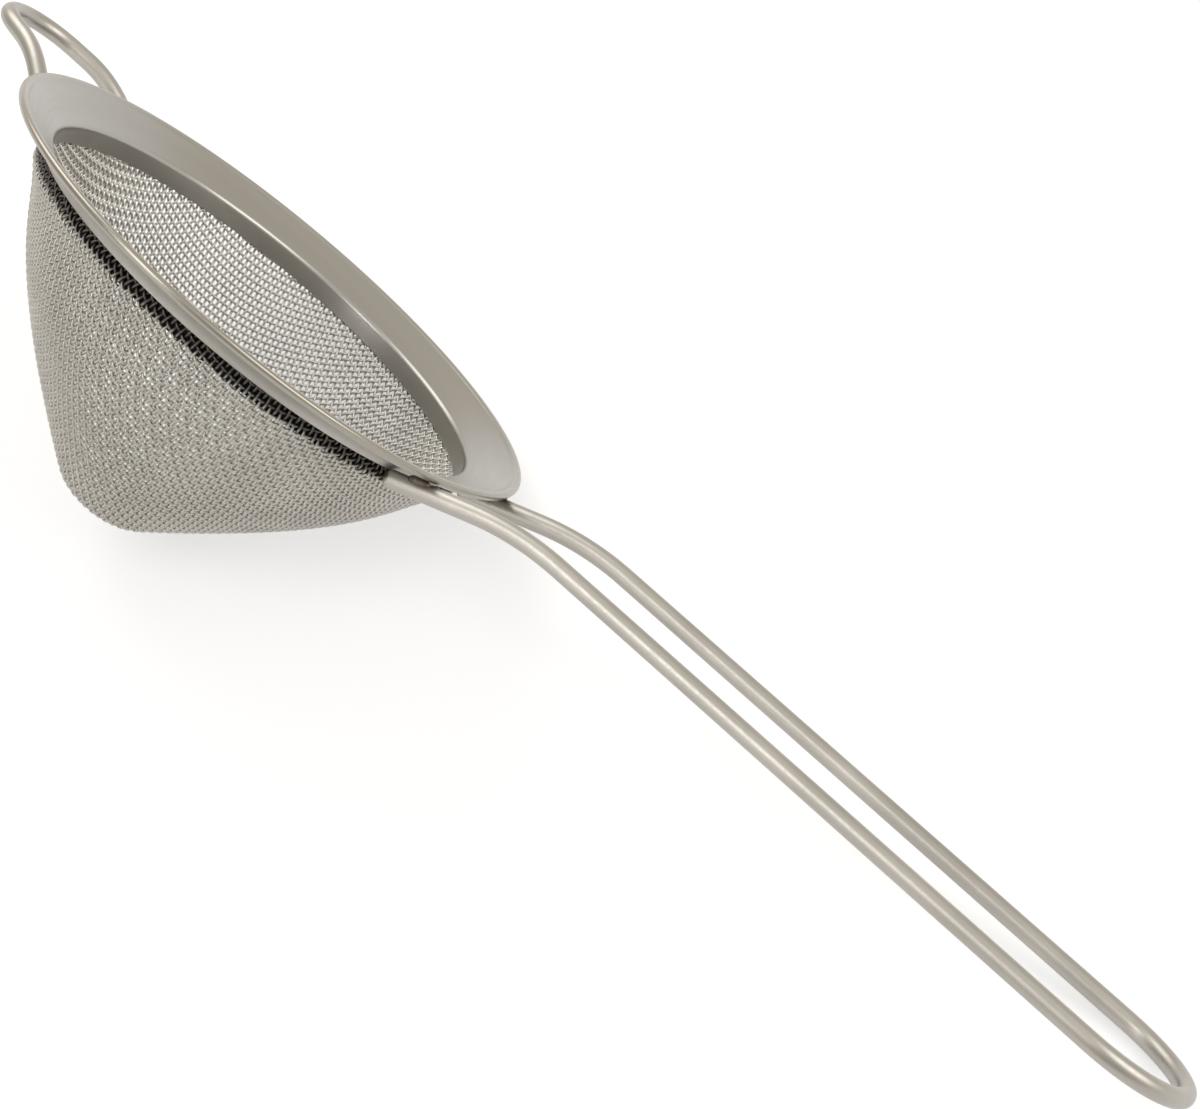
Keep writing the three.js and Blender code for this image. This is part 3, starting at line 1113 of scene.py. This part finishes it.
@dataclass(frozen=True)
class SoftLamp:
    """A large area lamp, aimed at the object.

    Attributes:
        azimuth: Bearing from the object, in degrees from +X towards +Y.
        elevation: Height above the table, in degrees.
        distance: Distance from what it is aimed at, in metres.
        power: Power, in watts.
    """

    name: str
    azimuth: float
    elevation: float
    distance: float
    width: float
    height: float
    power: float

    def build(self, target: Vector) -> bpy.types.Object:
        """Places the lamp.

        Args:
            target: What it is aimed at.

        Returns:
            The lamp.
        """
        data = bpy.data.lights.new(self.name, "AREA")
        data.shape = "RECTANGLE"
        data.size = self.width
        data.size_y = self.height
        data.energy = self.power
        lamp = bpy.data.objects.new(self.name, data)
        az = math.radians(self.azimuth)
        el = math.radians(self.elevation)
        back = Vector((math.cos(el) * math.cos(az), math.cos(el) * math.sin(az), math.sin(el)))
        lamp.location = target + back * self.distance
        lamp.rotation_euler = back.to_track_quat("Z", "Y").to_euler()
        bpy.context.scene.collection.objects.link(lamp)
        return lamp


LAMPS = (
    SoftLamp("right_softbox", 26.0, 36.0, 1.0, 0.6, 0.8, 3.5),
    SoftLamp("left_softbox", 158.0, 42.0, 1.0, 0.6, 0.8, 3.1),
    SoftLamp("tall_window", -100.0, 30.0, 1.0, 0.4, 1.1, 1.9),
    SoftLamp("near_softbox", -95.0, 60.0, 1.0, 0.28, 0.56, 1.8),
)


@dataclass
class Studio:
    """The pale floor, soft light and the photograph's camera.

    Attributes:
        floor_white: What the floor's own glow adds, to the camera and in the metal only.
        room: Heights from the horizon up to the ceiling, and the room's colours there.
        near_share: The room's strength on the camera's side, as a share of room_level.
        near_depth: The direction's Y at which that share is reached.
        far_depth: The direction's Y from which the room has its full strength.
        focal_pixels: The lens, in the photograph's pixels.
    """

    axes: RimAxes
    floor_size: float = 6.0
    floor_colour: Colour = (0.4, 0.4, 0.4)
    floor_roughness: float = 0.9
    floor_white: float = 0.57
    room: tuple[tuple[float, Colour], ...] = (
        (0.0, (0.53, 0.481, 0.411)),
        (0.3, (0.565, 0.53, 0.474)),
        (0.62, (0.60, 0.572, 0.523)),
        (1.0, (0.64, 0.622, 0.587)),
    )
    room_level: float = 1.5
    near_share: float = 0.65
    near_depth: float = -0.6
    far_depth: float = 0.1
    camera_place: Point = (164.70, -322.66, 80.68)
    camera_aim: Point = (52.385, 21.668, 0.289)
    camera_roll: float = 41.853
    focal_pixels: float = 2721.5
    sensor_width: float = 36.0
    clip_start: float = 0.01

    def floor_material(self) -> bpy.types.Material:
        """A plain floor without gloss, which looks white to the camera and the metal and keeps shadows.

        Returns:
            The material.
        """
        material = bpy.data.materials.new("pale_floor")
        material.use_nodes = True
        nodes, links = material.node_tree.nodes, material.node_tree.links
        shader = nodes["Principled BSDF"]
        shader.inputs["Base Color"].default_value = (*self.floor_colour, 1.0)
        shader.inputs["Roughness"].default_value = self.floor_roughness
        shader.inputs["Specular IOR Level"].default_value = 0.0
        shader.inputs["Emission Color"].default_value = (1.0, 1.0, 1.0, 1.0)
        ray = nodes.new("ShaderNodeLightPath")
        seen = ray.outputs["Is Camera Ray"]
        for kind in ("Is Glossy Ray", "Is Transmission Ray"):
            either = nodes.new("ShaderNodeMath")
            either.operation = "MAXIMUM"
            links.new(seen, either.inputs[0])
            links.new(ray.outputs[kind], either.inputs[1])
            seen = either.outputs["Value"]
        level = nodes.new("ShaderNodeMath")
        level.operation = "MULTIPLY"
        level.inputs[1].default_value = self.floor_white
        links.new(seen, level.inputs[0])
        links.new(level.outputs["Value"], shader.inputs["Emission Strength"])
        return material

    def build_floor(self) -> None:
        """Lays the floor under the object."""
        shape = bmesh.new()
        bmesh.ops.create_grid(shape, x_segments=1, y_segments=1, size=self.floor_size / 2)
        mesh = bpy.data.meshes.new("pale_floor")
        shape.to_mesh(mesh)
        shape.free()
        mesh.materials.append(self.floor_material())
        floor = bpy.data.objects.new("pale_floor", mesh)
        bpy.context.scene.collection.objects.link(floor)

    def build_light(self) -> None:
        """Sets the lamps and the room: warm walls up to a paler ceiling, darker on the camera's side."""
        world = bpy.data.worlds.new("soft_room")
        world.use_nodes = True
        nodes, links = world.node_tree.nodes, world.node_tree.links
        place = nodes.new("ShaderNodeTexCoord")
        split = nodes.new("ShaderNodeSeparateXYZ")
        tone = nodes.new("ShaderNodeValToRGB")
        elements = tone.color_ramp.elements
        while len(elements) < len(self.room):
            elements.new(0.5)
        for element, (height, colour) in zip(elements, self.room):
            element.position = height
            element.color = (*colour, 1.0)
        links.new(place.outputs["Generated"], split.inputs["Vector"])
        links.new(split.outputs["Z"], tone.inputs["Fac"])
        links.new(tone.outputs["Color"], nodes["Background"].inputs["Color"])
        depth = nodes.new("ShaderNodeMapRange")
        depth.inputs["From Min"].default_value = self.near_depth
        depth.inputs["From Max"].default_value = self.far_depth
        depth.inputs["To Min"].default_value = self.room_level * self.near_share
        depth.inputs["To Max"].default_value = self.room_level
        links.new(split.outputs["Y"], depth.inputs["Value"])
        links.new(depth.outputs["Result"], nodes["Background"].inputs["Strength"])
        bpy.context.scene.world = world
        target = self.axes.point((0.0, 0.0, 0.0))
        for lamp in LAMPS:
            lamp.build(target)

    def build_camera(self) -> None:
        """Sets the camera to the photograph's place, aim, roll and lens."""
        data = bpy.data.cameras.new("photo_camera")
        data.sensor_fit = "HORIZONTAL"
        data.sensor_width = self.sensor_width
        data.lens = self.focal_pixels / IMAGE_SIZE[0] * self.sensor_width
        data.clip_start = self.clip_start
        camera = bpy.data.objects.new("photo_camera", data)
        bpy.context.scene.collection.objects.link(camera)
        place = self.axes.point(self.camera_place)
        forward = (self.axes.point(self.camera_aim) - place).normalized()
        normal = self.axes.to_frame.to_3x3() @ Vector((0.0, 0.0, 1.0))
        level = forward.cross(normal).normalized()
        roll = math.radians(self.camera_roll)
        right = level * math.cos(roll) + level.cross(forward) * math.sin(roll)
        up = right.cross(forward)
        turn = Matrix((right, up, -forward)).transposed().to_4x4()
        camera.matrix_world = Matrix.Translation(place) @ turn
        bpy.context.scene.camera = camera

    def build(self) -> None:
        """Makes the floor, the light and the camera."""
        self.build_floor()
        self.build_light()
        self.build_camera()
        bpy.context.scene.view_settings.view_transform = "Standard"


def main() -> None:
    """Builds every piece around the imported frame."""
    logging.basicConfig(level=logging.INFO, format="%(name)s: %(message)s")
    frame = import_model()
    axes = RimAxes.from_frame(frame)
    bench = Bench(axes)
    group = handled_steel_group()
    sheet_finishes = (SATIN_SHEET, UNDERSIDE_PAINTED_LIGHT, CREVICE_PAINTED_SHADE, ROLLED_EDGE)
    sheet = [finish.material(group, axes) for finish in sheet_finishes]
    woven = [WOVEN_WIRE.material(group, axes)]
    drawn = [DRAWN_WIRE.material(group, axes)]
    weld = [WELD_TINT_AND_SHADE.material(group, axes)]

    rim = PressedRim()
    bench.piece("pressed_rim", rim.build(), sheet, Slot.RIM, "rim_ring")
    cone = WovenCone(rim)
    for name, mesh in cone.build():
        bench.piece(name, mesh, woven, Slot.CLOTH, "mesh_cone")
    handle = HairpinHandle(rim, cone)
    loop = RestLoop(rim, cone)
    for name, wire, node in (("hairpin_handle", handle, "handle_wire"), ("wire_rest", loop, "rest_loop")):
        bench.piece(name, wire.build(name, wire.points()), drawn, Slot.WIRE, node)
    for node, seat in (("handle_weld", handle.seat()), ("rest_loop_weld", loop.seat())):
        for side in Side:
            name = f"{node}_{side.name.lower()}"
            bench.piece(f"{name}_bead", WeldBead(seat).build(name, side), weld, Slot.WELD, name)

    Studio(axes).build()


if __name__ == "__main__":
    main()
